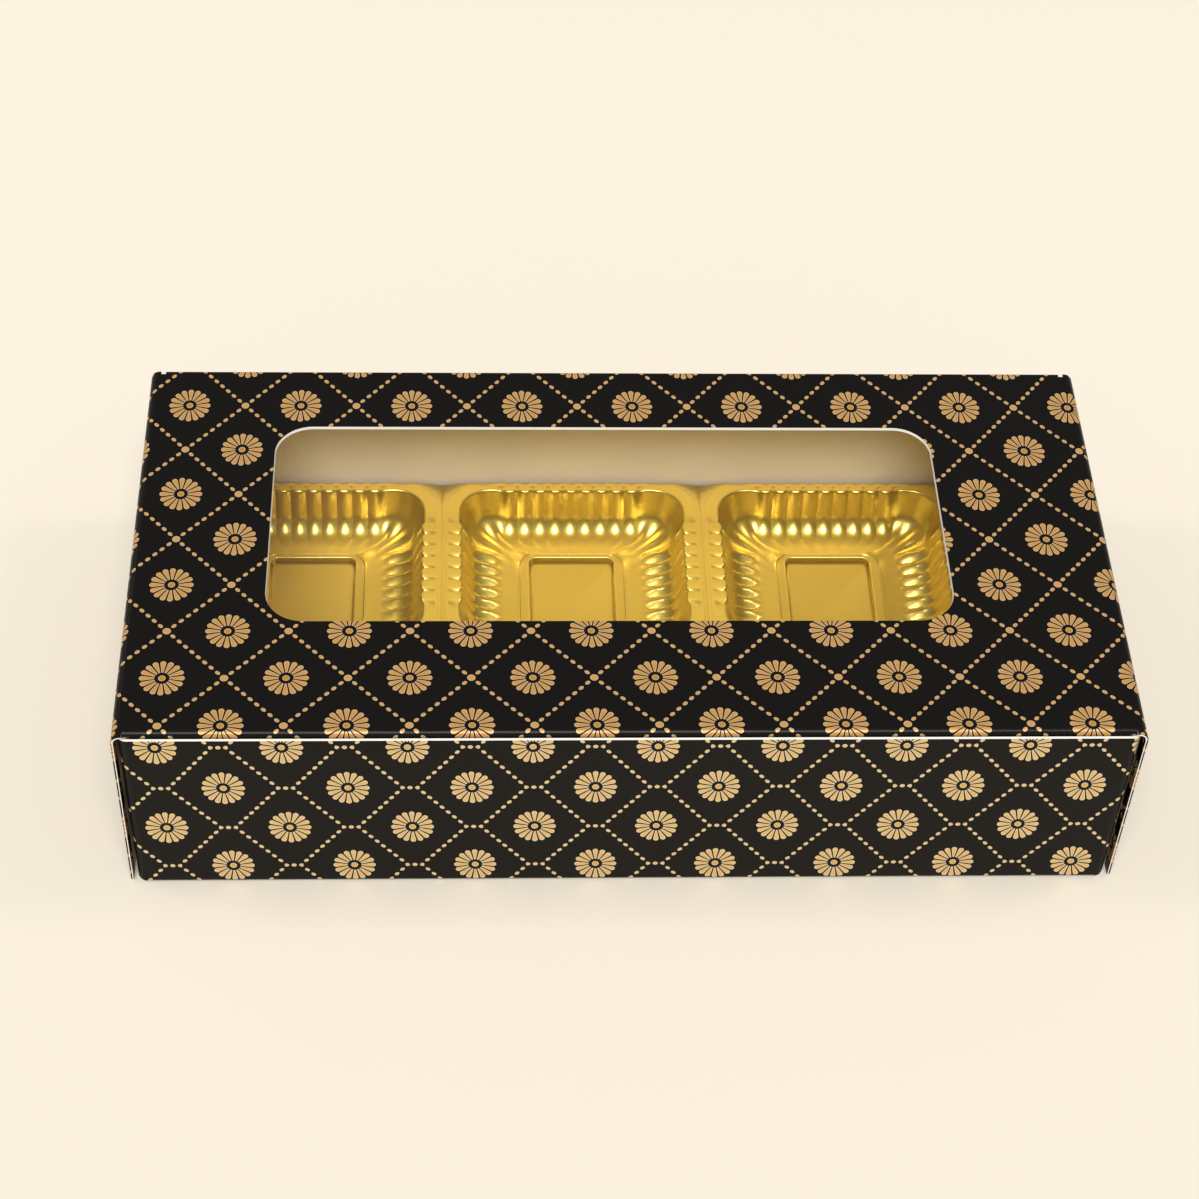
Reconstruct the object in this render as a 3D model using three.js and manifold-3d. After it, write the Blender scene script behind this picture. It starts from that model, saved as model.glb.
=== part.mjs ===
// A chocolate box of folding board: a glued tray, a hinged lid with a film window, and a gold
// thermoformed insert with six fluted cavities. Millimetres, +Z up, the front at -Y, and the
// origin in the middle of the underside. Every board panel is a piece of its own, divided from
// the next at its crease.

import * as THREE from 'three';
import { mergeVertices } from 'three/addons/utils/BufferGeometryUtils.js';
import Module from 'manifold-3d';

// Outside of the closed box
const BOX_WIDTH = 165;
const BOX_DEPTH = 84.5;
const BOX_HEIGHT = 38;

// Board and its creases
const BOARD = 0.5;
const FOLD_INSIDE = 0.5;
const FOLD_STEPS = 5;
const CUT_CORNER_STEPS = 6;
const CREASE_GAP = 0.05;
const GLUE_LINE = 0.05;
const CORNER_GAP = 0.2;

// Tray
const LID_GAP = 0.3;
const TAB_LENGTH = 15;
const TAB_TAPER = 2.5;
const TAB_LIFT = 1.5;

// Lid
const FLAP_GAP = 0.8;
const FLAP_LIFT = 0.8;
const FLAP_FRONT_SETBACK = 0.8;
const FLAP_BACK_SETBACK = 1.5;
const FLAP_CORNER = 2.5;
const TUCK_LENGTH = 13;
const TUCK_LEAN = THREE.MathUtils.degToRad(10);
const TUCK_GAP = 0.3;
const TUCK_SIDE_GAP = 0.6;
const TUCK_CORNER = 7;

// Window, as distances from the outside of the box
const WINDOW_LEFT = 22.8;
const WINDOW_RIGHT = 27.9;
const WINDOW_FRONT = 24.6;
const WINDOW_BACK = 14.4;
const WINDOW_CORNER = 6.5;
const FILM = 0.2;
const FILM_LAP = 7;

// Insert
const SHEET = 0.3;
const SEAT_GAP = 0.1;
const INSERT_GAP = 0.6;
const COLUMNS = 3;
const ROWS = 2;
const LEFT_FLANGE = 4.2;
const RIGHT_FLANGE = 18.8;
const END_FLANGE = 2.2;
const DIVIDER = 6.8;
const INSERT_CORNER = 6;
const NOTCH_WIDTH = 8.4;
const NOTCH_DEPTH = 3.2;
const NOTCH_FLARE = 1 / 3;
const OUTLINE_STEPS = 4;

// One cavity: a steep fluted wall, a hollow fillet, a flat floor and a sunk middle
const CAVITY_CORNER = 5.5;
const FOOT_CORNER = 1.2;
const STEEP_RUN = 1.8;
const STEEP_DROP = 5;
const SIDE_FILLET_RUN = 5.6;
const END_FILLET_RUN = 2.6;
const FILLET_DROP = 3.4;
const FILLET_STEPS = 2;
const CORNER_STEPS = 3;
const FLUTE_PITCH = 2.83;
const FLUTE_DEPTH = 0.5;
const FLUTE_FOOT_DEPTH = 0.25;
const FLUTE_MARGIN = 1.8;
const FLOOR_MARGIN_X = 5.2;
const FLOOR_MARGIN_Y = 4.8;
const RECESS_DEPTH = 1.5;
const RECESS_DRAFT = 0.5;
const RECESS_CORNER = 1.2;

// Sizes that follow from the ones above
const QUARTER = Math.PI / 2;
const MIDDLE = new THREE.Vector2();
const foldRadius = FOLD_INSIDE + BOARD;
const halfWidth = BOX_WIDTH / 2;
const halfDepth = BOX_DEPTH / 2;
const wallTop = BOX_HEIGHT - BOARD - LID_GAP;
const tabOutside = halfWidth - BOARD - FLAP_GAP;
const sideWallOutside = tabOutside - BOARD - GLUE_LINE;
const sideWallInside = sideWallOutside - BOARD;
const tuckOutside = halfDepth - BOARD - TUCK_GAP;
const lidFront = -(tuckOutside - foldRadius - CREASE_GAP);
const lidBack = halfDepth - foldRadius - CREASE_GAP;
const lidSide = halfWidth - foldRadius - CREASE_GAP;

const board = new THREE.MeshStandardMaterial({ color: 0x241f1c, roughness: 0.45 });
const gold = new THREE.MeshStandardMaterial({ color: 0xd9a53a, roughness: 0.22, metalness: 1 });
const clear = new THREE.MeshStandardMaterial({ color: 0xf2efe6, roughness: 0.08 });
clear.transparent = true;
clear.opacity = 0.2;

const wasm = await Module();
wasm.setup();

function solidOf(geometry) {
  const bare = geometry.clone();
  bare.deleteAttribute('normal');
  bare.deleteAttribute('uv');
  const merged = mergeVertices(bare);
  const vertProperties = new Float32Array(merged.attributes.position.array);
  const triVerts = new Uint32Array(merged.index.array);
  return new wasm.Manifold(new wasm.Mesh({ numProp: 3, vertProperties, triVerts }));
}

function geometryOf(solid) {
  const { vertProperties, triVerts } = solid.getMesh();
  const geometry = new THREE.BufferGeometry();
  geometry.setAttribute('position', new THREE.BufferAttribute(vertProperties, 3));
  geometry.setIndex(new THREE.BufferAttribute(triVerts, 1));
  geometry.computeVertexNormals();
  return geometry;
}

function namedMesh(name, geometry, material) {
  const mesh = new THREE.Mesh(geometry, material);
  mesh.name = name;
  return mesh;
}

// A board panel's section, walked along its printed face from the origin towards +x. Each step is
// a straight run or a turn to the inside, which at the start is -y.
function boardSection(...steps) {
  const printed = [];
  const plain = [];
  const place = new THREE.Vector2();
  let heading = 0;
  const inward = () => new THREE.Vector2(Math.sin(heading), -Math.cos(heading));
  const mark = () => {
    printed.push(place.clone());
    plain.push(place.clone().addScaledVector(inward(), BOARD));
  };
  mark();
  for (const { run = 0, turn = 0 } of steps) {
    if (run) {
      place.add(new THREE.Vector2(Math.cos(heading), Math.sin(heading)).multiplyScalar(run));
      mark();
    }
    const centre = place.clone().addScaledVector(inward(), foldRadius);
    for (let step = 0; turn && step < FOLD_STEPS; step++) {
      heading -= turn / FOLD_STEPS;
      place.copy(centre).addScaledVector(inward(), -foldRadius);
      mark();
    }
  }
  return new THREE.Shape([...printed, ...plain.reverse()]);
}

// The section drawn out along its crease, centred on it
function drawnOut(section, length) {
  const geometry = new THREE.ExtrudeGeometry(section, { depth: length, bevelEnabled: false });
  return geometry.translate(0, 0, -length / 2);
}

// A flat plate with rounded cut corners
function plate(outline, depth) {
  const curveSegments = CUT_CORNER_STEPS;
  return new THREE.ExtrudeGeometry(outline, { depth, bevelEnabled: false, curveSegments });
}

// A drawn-out flap whose free corners are rounded
function roundedFlap(section, length, reach, corner) {
  const half = length / 2;
  const outline = new THREE.Shape();
  outline.moveTo(half, BOARD);
  outline.lineTo(-half, BOARD);
  outline.absarc(corner - half, corner - reach, corner, Math.PI, 1.5 * Math.PI);
  outline.absarc(half - corner, corner - reach, corner, 1.5 * Math.PI, 2 * Math.PI);
  const cutter = plate(outline, reach + 2 * foldRadius);
  cutter.rotateY(-QUARTER).translate(2 * foldRadius, 0, 0);
  return geometryOf(solidOf(drawnOut(section, length)).intersect(solidOf(cutter)));
}

// A group whose +x points out of one side of the box
function sideGroup(angle) {
  const group = new THREE.Group();
  group.rotation.z = angle;
  return group;
}

// Tray

function basePanel() {
  const width = 2 * (sideWallOutside - foldRadius - CREASE_GAP);
  const depth = 2 * (halfDepth - foldRadius - CREASE_GAP);
  const mesh = namedMesh('base_panel', new THREE.BoxGeometry(width, depth, BOARD), board);
  mesh.position.z = BOARD / 2;
  return mesh;
}

// A wall turns up from the base, so its section is turned over.
function trayWall(name, angle, outside, length, ...steps) {
  const section = boardSection({ turn: QUARTER }, ...steps);
  const mesh = namedMesh(name, drawnOut(section, length), board);
  mesh.rotation.x = -QUARTER;
  mesh.position.x = outside - foldRadius;
  return sideGroup(angle).add(mesh);
}

// A corner tab turns from the end of a front or back wall and is glued outside the side wall.
function cornerTab(name, rotation, towardsX, towardsY) {
  const height = wallTop - TAB_LIFT;
  const section = boardSection({ turn: QUARTER }, { run: TAB_LENGTH });
  const geometry = drawnOut(section, height);
  const points = geometry.attributes.position;
  for (let index = 0; index < points.count; index++) {
    const share = Math.max(0, -points.getY(index) - foldRadius) / TAB_LENGTH;
    points.setZ(index, points.getZ(index) * (1 - (share * 2 * TAB_TAPER) / height));
  }
  const mesh = namedMesh(name, geometry, board);
  mesh.rotation.copy(rotation);
  mesh.position.set(towardsX * (tabOutside - foldRadius), towardsY * halfDepth, TAB_LIFT + height / 2);
  return mesh;
}

function tray() {
  const group = new THREE.Group();
  const longWall = 2 * (tabOutside - foldRadius - CREASE_GAP);
  const sideWall = 2 * (halfDepth - foldRadius - CORNER_GAP);
  const rise = { run: wallTop - foldRadius };
  const hingeRise = { run: BOX_HEIGHT - 2 * foldRadius };
  group.add(basePanel());
  group.add(trayWall('right_wall', 0, sideWallOutside, sideWall, rise));
  group.add(trayWall('left_wall', Math.PI, sideWallOutside, sideWall, rise));
  group.add(trayWall('front_wall', -QUARTER, halfDepth, longWall, rise));
  group.add(trayWall('back_wall', QUARTER, halfDepth, longWall, hingeRise, { turn: QUARTER }));
  group.add(cornerTab('front_left_tab', new THREE.Euler(0, 0, Math.PI), -1, -1));
  group.add(cornerTab('front_right_tab', new THREE.Euler(Math.PI, 0, 0), 1, -1));
  group.add(cornerTab('back_left_tab', new THREE.Euler(0, Math.PI, 0), -1, 1));
  group.add(cornerTab('back_right_tab', new THREE.Euler(0, 0, 0), 1, 1));
  return group;
}

// Lid

function roundedRectangle(path, left, bottom, right, top, corner) {
  path.absarc(right - corner, bottom + corner, corner, -QUARTER, 0);
  path.absarc(right - corner, top - corner, corner, 0, QUARTER);
  path.absarc(left + corner, top - corner, corner, QUARTER, Math.PI);
  path.absarc(left + corner, bottom + corner, corner, Math.PI, 1.5 * Math.PI);
  return path;
}

function lidPanel() {
  const outline = new THREE.Shape();
  outline.moveTo(-lidSide, lidFront);
  outline.lineTo(lidSide, lidFront);
  outline.lineTo(lidSide, lidBack);
  outline.lineTo(-lidSide, lidBack);
  const left = WINDOW_LEFT - halfWidth;
  const right = halfWidth - WINDOW_RIGHT;
  const front = WINDOW_FRONT - halfDepth;
  const back = halfDepth - WINDOW_BACK;
  outline.holes.push(roundedRectangle(new THREE.Path(), left, front, right, back, WINDOW_CORNER));
  const mesh = namedMesh('lid_panel', plate(outline, BOARD), board);
  mesh.position.z = BOX_HEIGHT - BOARD;
  return mesh;
}

function windowFilm() {
  const width = BOX_WIDTH - WINDOW_LEFT - WINDOW_RIGHT + 2 * FILM_LAP;
  const depth = BOX_DEPTH - WINDOW_FRONT - WINDOW_BACK + 2 * FILM_LAP;
  const mesh = namedMesh('window_film', new THREE.BoxGeometry(width, depth, FILM), clear);
  const top = BOX_HEIGHT - BOARD - GLUE_LINE;
  mesh.position.set((WINDOW_LEFT - WINDOW_RIGHT) / 2, (WINDOW_FRONT - WINDOW_BACK) / 2, top - FILM / 2);
  return mesh;
}

// A lid flap turns down at its crease. towardsFront is +y or -y in the side's own group.
function lidSideFlap(name, angle, towardsFront) {
  const run = BOX_HEIGHT - foldRadius - FLAP_LIFT;
  const length = BOX_DEPTH - FLAP_FRONT_SETBACK - FLAP_BACK_SETBACK;
  const section = boardSection({ turn: QUARTER }, { run });
  const mesh = namedMesh(name, roundedFlap(section, length, run + foldRadius, FLAP_CORNER), board);
  mesh.rotation.x = QUARTER;
  const shift = (FLAP_BACK_SETBACK - FLAP_FRONT_SETBACK) / 2;
  mesh.position.set(halfWidth - foldRadius, towardsFront * shift, BOX_HEIGHT);
  return sideGroup(angle).add(mesh);
}

function tuckFlap() {
  const length = 2 * (sideWallInside - TUCK_SIDE_GAP);
  const section = boardSection({ turn: QUARTER + TUCK_LEAN }, { run: TUCK_LENGTH });
  const reach = foldRadius * (1 + Math.sin(TUCK_LEAN)) + TUCK_LENGTH * Math.cos(TUCK_LEAN);
  const mesh = namedMesh('tuck_flap', roundedFlap(section, length, reach, TUCK_CORNER), board);
  mesh.rotation.x = QUARTER;
  mesh.position.set(tuckOutside - foldRadius, 0, BOX_HEIGHT);
  return sideGroup(-QUARTER).add(mesh);
}

function lid() {
  const group = new THREE.Group();
  group.add(lidPanel(), windowFilm());
  group.add(lidSideFlap('lid_right_flap', 0, -1));
  group.add(lidSideFlap('lid_left_flap', Math.PI, 1));
  group.add(tuckFlap());
  return group;
}

// Insert

const insertHalfWidth = sideWallInside - INSERT_GAP;
const insertHalfDepth = halfDepth - BOARD - INSERT_GAP;
const flatWidth = 2 * insertHalfWidth - LEFT_FLANGE - RIGHT_FLANGE;
const flatDepth = 2 * insertHalfDepth - 2 * END_FLANGE;
const cavityWidth = (flatWidth - (COLUMNS - 1) * DIVIDER) / COLUMNS;
const cavityDepth = (flatDepth - (ROWS - 1) * DIVIDER) / ROWS;
const floorDrop = STEEP_DROP + FILLET_DROP;
const rimHeight = BOARD + SEAT_GAP + SHEET + RECESS_DEPTH + floorDrop;
const firstColumn = LEFT_FLANGE - insertHalfWidth + cavityWidth / 2;
const firstRow = END_FLANGE - insertHalfDepth + cavityDepth / 2;
const columnX = (column) => firstColumn + column * (cavityWidth + DIVIDER);
const rowY = (row) => firstRow + row * (cavityDepth + DIVIDER);

// A closed sheet put together from rings of points that share their corners
class Sheet {
  points = [];
  triangles = [];

  ring(outline, height) {
    return outline.map((point) => this.points.push(new THREE.Vector3(point.x, point.y, height)) - 1);
  }

  add(triangle, turned) {
    this.triangles.push(...(turned ? triangle.toReversed() : triangle));
  }

  band(outer, inner, turned = false) {
    outer.forEach((corner, index) => {
      const next = (index + 1) % outer.length;
      this.add([corner, outer[next], inner[next]], turned);
      this.add([corner, inner[next], inner[index]], turned);
    });
  }

  cover(outer, holes, turned = false) {
    const fromAbove = ({ x, y }) => new THREE.Vector2(x, y);
    const flat = (ring) => ring.map((index) => fromAbove(this.points[index]));
    const corners = [outer, ...holes].flat();
    for (const face of THREE.ShapeUtils.triangulateShape(flat(outer), holes.map(flat))) {
      this.add(face.map((index) => corners[index]), turned);
    }
  }

  geometry() {
    const geometry = new THREE.BufferGeometry().setFromPoints(this.points);
    geometry.setIndex(this.triangles);
    geometry.computeVertexNormals();
    return geometry;
  }
}

// The underside of a profile of (inset, height) points that starts and ends flat
function underside(profile) {
  const flat = new THREE.Vector2(1, 0);
  const below = (direction) => new THREE.Vector2(direction.y, -direction.x);
  return profile.map((point, index) => {
    const before = index ? point.clone().sub(profile[index - 1]).normalize() : flat;
    const next = profile[index + 1];
    const after = next ? next.clone().sub(point).normalize() : flat;
    const mitre = below(before).add(below(after));
    return point.clone().addScaledVector(mitre, SHEET / (1 + before.dot(after)));
  });
}

// The end walls' profile
function cavityProfile() {
  const profile = [new THREE.Vector2(0, rimHeight)];
  for (let step = 0; step <= FILLET_STEPS; step++) {
    const angle = (QUARTER * step) / FILLET_STEPS;
    const inset = STEEP_RUN + END_FILLET_RUN * (1 - Math.cos(angle));
    profile.push(new THREE.Vector2(inset, rimHeight - STEEP_DROP - FILLET_DROP * Math.sin(angle)));
  }
  return profile;
}

// The side walls' inset where the end walls' is known: their fillet runs further in
function sideInset(endInset) {
  const intoFillet = Math.max(0, endInset - STEEP_RUN);
  return endInset + intoFillet * (SIDE_FILLET_RUN / END_FILLET_RUN - 1);
}

// One ring of a cavity's wall: a rounded rectangle whose sides swell inwards in flutes
function flutedRing(centre, endInset, flute) {
  const outside = [cavityWidth / 2, cavityDepth / 2];
  const half = [outside[0] - sideInset(endInset), outside[1] - endInset];
  const corner = Math.max(CAVITY_CORNER - endInset, FOOT_CORNER);
  const ring = [];
  for (let side = 0; side < 4; side++) {
    const across = half[side % 2];
    const straight = half[(side + 1) % 2] - corner;
    const topStraight = outside[(side + 1) % 2] - CAVITY_CORNER;
    const flutes = Math.floor((2 * (topStraight - FLUTE_MARGIN)) / FLUTE_PITCH);
    const reach = ((flutes * FLUTE_PITCH) / 2) * (straight / topStraight);
    const points = cornerArc(across - corner, straight, corner);
    for (let mark = 2 * flutes; mark >= 0; mark--) {
      points.unshift(new THREE.Vector2(across - (mark % 2) * flute, reach * (mark / flutes - 1)));
    }
    for (const point of points) {
      ring.push(point.rotateAround(MIDDLE, side * QUARTER).add(centre));
    }
  }
  return ring;
}

// One ring of the sunk middle: a plain rounded rectangle
function recessRing(centre, inset) {
  const half = [
    cavityWidth / 2 - STEEP_RUN - SIDE_FILLET_RUN - FLOOR_MARGIN_X,
    cavityDepth / 2 - STEEP_RUN - END_FILLET_RUN - FLOOR_MARGIN_Y,
  ];
  const corner = Math.max(RECESS_CORNER - inset, RECESS_CORNER / 2);
  const ring = [];
  for (let side = 0; side < 4; side++) {
    const across = half[side % 2] - inset - corner;
    const straight = half[(side + 1) % 2] - inset - corner;
    for (const point of cornerArc(across, straight, corner)) {
      ring.push(point.rotateAround(MIDDLE, side * QUARTER).add(centre));
    }
  }
  return ring;
}

// A quarter circle from +x to +y round a corner's centre
function cornerArc(x, y, radius) {
  return Array.from({ length: CORNER_STEPS + 1 }, (_, step) => {
    const angle = (QUARTER * step) / CORNER_STEPS;
    return new THREE.Vector2(x + radius * Math.cos(angle), y + radius * Math.sin(angle));
  });
}

// The insert's outline, with rounded corners and a notch in the edge at the end of each divider
function insertOutline() {
  const half = [insertHalfWidth, insertHalfDepth];
  const dividers = (count, place) => Array.from({ length: count - 1 }, (_, index) => place(index + 0.5));
  const columnEnds = dividers(COLUMNS, columnX);
  const rowEnds = dividers(ROWS, rowY);
  const turned = (places) => places.map((place) => -place).reverse();
  const notches = [rowEnds, turned(columnEnds), turned(rowEnds), columnEnds];
  const outline = new THREE.Shape();
  notches.forEach((places, side) => {
    const across = half[side % 2];
    const straight = half[(side + 1) % 2] - INSERT_CORNER;
    const at = (x, y) => new THREE.Vector2(x, y).rotateAround(MIDDLE, side * QUARTER);
    const reach = NOTCH_WIDTH / 2;
    for (const place of places) {
      const start = at(across, place - reach);
      const end = at(across, place + reach);
      const point = at(across - NOTCH_DEPTH, place);
      const before = at(across, place - reach * NOTCH_FLARE);
      const after = at(across, place + reach * NOTCH_FLARE);
      if (outline.curves.length) {
        outline.lineTo(start.x, start.y);
      } else {
        outline.moveTo(start.x, start.y);
      }
      outline.quadraticCurveTo(before.x, before.y, point.x, point.y);
      outline.quadraticCurveTo(after.x, after.y, end.x, end.y);
    }
    const centre = at(across - INSERT_CORNER, straight);
    outline.absarc(centre.x, centre.y, INSERT_CORNER, side * QUARTER, (side + 1) * QUARTER);
  });
  return outline.getPoints(OUTLINE_STEPS);
}

// One face of the insert: the rim with its six cavities, seen from above or, turned, from below
function insertFace(sheet, rim, wall, recess, turned) {
  const mouths = [];
  for (let row = 0; row < ROWS; row++) {
    for (let column = 0; column < COLUMNS; column++) {
      const centre = new THREE.Vector2(columnX(column), rowY(row));
      const rings = wall.map((point, index) => {
        const flute = index === wall.length - 1 ? FLUTE_FOOT_DEPTH : FLUTE_DEPTH;
        return sheet.ring(flutedRing(centre, point.x, flute), point.y);
      });
      rings.slice(1).forEach((ring, index) => sheet.band(rings[index], ring, turned));
      const [edge, bottom] = recess.map((point) => sheet.ring(recessRing(centre, point.x), point.y));
      sheet.cover(rings.at(-1), [edge], turned);
      sheet.band(edge, bottom, turned);
      sheet.cover(bottom, [], turned);
      mouths.push(rings[0]);
    }
  }
  sheet.cover(rim, mouths, turned);
}

function insert() {
  const sheet = new Sheet();
  const outline = insertOutline();
  const floorHeight = rimHeight - floorDrop;
  const wall = cavityProfile();
  const recess = [
    new THREE.Vector2(0, floorHeight),
    new THREE.Vector2(RECESS_DRAFT, floorHeight - RECESS_DEPTH),
  ];
  const rim = sheet.ring(outline, rimHeight);
  const rimBelow = sheet.ring(outline, rimHeight - SHEET);
  insertFace(sheet, rim, wall, recess, false);
  insertFace(sheet, rimBelow, underside(wall), underside(recess), true);
  sheet.band(rimBelow, rim);
  return namedMesh('insert', sheet.geometry(), gold);
}

const box = new THREE.Group();
box.add(tray(), lid(), insert());

export default box;
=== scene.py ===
import bpy
import numpy as np
from mathutils import Matrix


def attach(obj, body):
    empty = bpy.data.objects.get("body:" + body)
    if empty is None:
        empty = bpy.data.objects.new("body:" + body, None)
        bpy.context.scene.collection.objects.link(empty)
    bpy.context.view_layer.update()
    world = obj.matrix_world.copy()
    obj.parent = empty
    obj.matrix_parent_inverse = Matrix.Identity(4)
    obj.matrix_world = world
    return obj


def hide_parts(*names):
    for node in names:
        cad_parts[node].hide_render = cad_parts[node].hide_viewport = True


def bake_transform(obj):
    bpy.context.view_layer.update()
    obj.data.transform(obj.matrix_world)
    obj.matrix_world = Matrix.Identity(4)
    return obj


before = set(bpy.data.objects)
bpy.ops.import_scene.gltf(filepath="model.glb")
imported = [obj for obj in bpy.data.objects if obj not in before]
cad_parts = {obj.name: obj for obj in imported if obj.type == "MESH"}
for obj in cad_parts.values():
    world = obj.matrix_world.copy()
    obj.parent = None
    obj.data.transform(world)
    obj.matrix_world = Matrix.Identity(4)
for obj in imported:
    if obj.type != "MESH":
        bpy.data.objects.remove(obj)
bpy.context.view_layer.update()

# Base panel
# The middle of the one-piece blank, which stands on the table. It is folding board about half a
# millimetre thick, white inside and printed outside, die-cut and creased on one press.
MM = 0.001
BOARD = 0.5
FOLD = 1.0
SHARP = np.radians(35)
BLACK_INK = (0.0066, 0.0055, 0.0048, 1)
PLAIN_BOARD = (0.90, 0.82, 0.67, 1)
CUT_BOARD = (0.94, 0.92, 0.87, 1)
CLOUD_SHADE = 0.95
PETALS = 16
PETAL_START = 1.26
PETAL_END = 3.28
PETAL_TIP = 0.48
PETAL_SPREAD = 0.168
PETAL_GAP = 0.075
FLOWER_DOT = 0.6
BEAD_LENGTH = 0.46
BEAD_WIDTH = 0.31
BEAD_MEAN = 0.36
INK_BLUR = 0.06
RIM_WIDTH = 0.15
PALE_FROM = 1.2
PALE_RUN = 2.6
PALE_TIP = 0.28
INK_ROUGHNESS = 0.42
FIBRE_ROUGHNESS = 0.10
GOLD_POLISH = 0.06
GOLD_METAL = 0.25
INK_SHEEN = 0.06
VARNISH_ROUGHNESS = 0.18


class Wire:
    """One output of a shader node. Arithmetic on it adds a Math node to the same material."""

    def __init__(self, tree, output=None):
        self.tree = tree
        self.output = output

    def node(self, kind, *inputs, result=0, **settings):
        """Any node, from its type, its inputs in order, its settings by name and one result."""
        made = self.tree.nodes.new(kind)
        for name, value in settings.items():
            setattr(made, name, value)
        for socket, value in zip(made.inputs, inputs):
            if isinstance(value, Wire):
                self.tree.links.new(value.output, socket)
            elif value is not None:
                socket.default_value = value
        return Wire(self.tree, made.outputs[result])

    def math(self, operation, *others):
        """A Math node with this wire as its first input."""
        return self.node("ShaderNodeMath", self, *others, operation=operation)

    def to(self, shader, name):
        """Joins this wire to one of the shader's inputs."""
        self.tree.links.new(self.output, shader.inputs[name])

    def __add__(self, other):
        return self.math("ADD", other)

    def __radd__(self, other):
        return self.math("ADD", other)

    def __sub__(self, other):
        return self.math("SUBTRACT", other)

    def __rsub__(self, other):
        return self.node("ShaderNodeMath", other, self, operation="SUBTRACT")

    def __mul__(self, other):
        return self.math("MULTIPLY", other)

    def __rmul__(self, other):
        return self.math("MULTIPLY", other)

    def __truediv__(self, other):
        return self.math("DIVIDE", other)


def new_material(name):
    """A material with one Principled shader, that shader, and a bare wire to start its graph."""
    material = bpy.data.materials.new(name)
    material.use_nodes = True
    return material, material.node_tree.nodes["Principled BSDF"], Wire(material.node_tree)


def mixed(share, first, second):
    """Two colours mixed by a share from 0, the first, to 1, the second."""
    inputs = (share, None, None, None, None, None, first, second)
    return share.node("ShaderNodeMix", *inputs, data_type="RGBA", result=2)


def length_of(across, along):
    """The length of a flat vector: the root of the sum of its squares."""
    return (across * across + along * along).math("SQRT")


def grain(start, scale, detail):
    """Soft noise in the object's own coordinates, its scale in grains a metre."""
    place = start.node("ShaderNodeTexCoord", result=3)
    return start.node("ShaderNodeTexNoise", place, None, scale, detail)


def bumped(height, strength, depth):
    """A surface normal tilted by a height field, with its strength and its depth in millimetres."""
    return height.node("ShaderNodeBump", strength, depth * MM, None, height)


def printed_board(name, pitch, rows, askew, flower, reach, node, beads, fill, rim, gloss):
    """The print on a board, in millimetres on the blank, where it lies a little askew. The plane is
    folded like a paper cut so that one corner of a diamond stands for all of it. A flower is the
    union of wedge petals with round tips and a middle dot; the diamond's edge is a row of oval
    beads between two nodes."""
    material, shader, start = new_material(name)
    place = start.node("ShaderNodeAttribute", attribute_name="print", result=1)
    u = start.node("ShaderNodeSeparateXYZ", place, result=0)
    v = start.node("ShaderNodeSeparateXYZ", place, result=1)
    half = pitch / 2
    lean, taper, stretch = askew
    x = ((u + lean * v) * (1 + taper * v)).math("PINGPONG", half)
    y = (v * (1 - stretch * v)).math("PINGPONG", rows)
    other = (x / half + y / rows).math("GREATER_THAN", 1)
    x = x + other * (half - 2 * x)
    y = y + other * (rows - 2 * y)

    across, up = x / flower[0], y / flower[1]
    radius = length_of(across, up)
    angle = up.math("ARCTAN2", across).math("PINGPONG", np.pi / PETALS)
    along = radius * angle.math("COSINE")
    aside = radius * angle.math("SINE")
    wedge = (aside - along * PETAL_SPREAD + PETAL_GAP).math("MAXIMUM", along - PETAL_END)
    wedge = wedge.math("MAXIMUM", PETAL_START - radius)
    tip = length_of(along - PETAL_END, aside) - PETAL_TIP
    petals = wedge.math("MINIMUM", tip).math("MINIMUM", radius - FLOWER_DOT)

    run = np.hypot(half - 2 * reach, rows)
    step_x = (2 * reach - half) / run
    step_y = rows / run
    from_node = x - (half - reach)
    walked = (from_node * step_x + y * step_y).math("PINGPONG", run / beads / 2)
    off_line = y * step_x - from_node * step_y
    bead = (length_of(walked / BEAD_LENGTH, off_line / BEAD_WIDTH) - 1) * BEAD_MEAN
    dot = length_of(x - half, y).math("MINIMUM", length_of(x, y - rows)) - node
    gold = petals.math("MINIMUM", bead).math("MINIMUM", dot)

    inked = start.node("ShaderNodeClamp", 0.5 - gold / INK_BLUR)
    outlined = start.node("ShaderNodeClamp", 1 + gold / RIM_WIDTH)
    towards_tip = start.node("ShaderNodeClamp", (radius - PALE_FROM) / PALE_RUN)
    pale = outlined.math("MAXIMUM", PALE_TIP * towards_tip)
    mixed(inked, BLACK_INK, mixed(pale, fill, rim)).to(shader, "Base Color")
    fibre = grain(start, scale=900, detail=3)
    (INK_ROUGHNESS + FIBRE_ROUGHNESS * fibre - GOLD_POLISH * inked).to(shader, "Roughness")
    (GOLD_METAL * inked).to(shader, "Metallic")
    bumped(fibre, strength=0.12, depth=0.1).to(shader, "Normal")
    shader.inputs["Specular IOR Level"].default_value = INK_SHEEN
    shader.inputs["Coat Weight"].default_value = gloss
    shader.inputs["Coat Roughness"].default_value = VARNISH_ROUGHNESS
    return material


def bare_board(name, colour, roughness):
    """Unprinted board: a colour that clouds a little, with a faint fibre grain."""
    material, shader, start = new_material(name)
    clouded = [CLOUD_SHADE * part for part in colour[:3]] + [1]
    mixed(grain(start, scale=120, detail=4), clouded, colour).to(shader, "Base Color")
    shader.inputs["Roughness"].default_value = roughness
    bumped(grain(start, scale=1400, detail=4), strength=0.15, depth=0.1).to(shader, "Normal")
    return material


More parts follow.
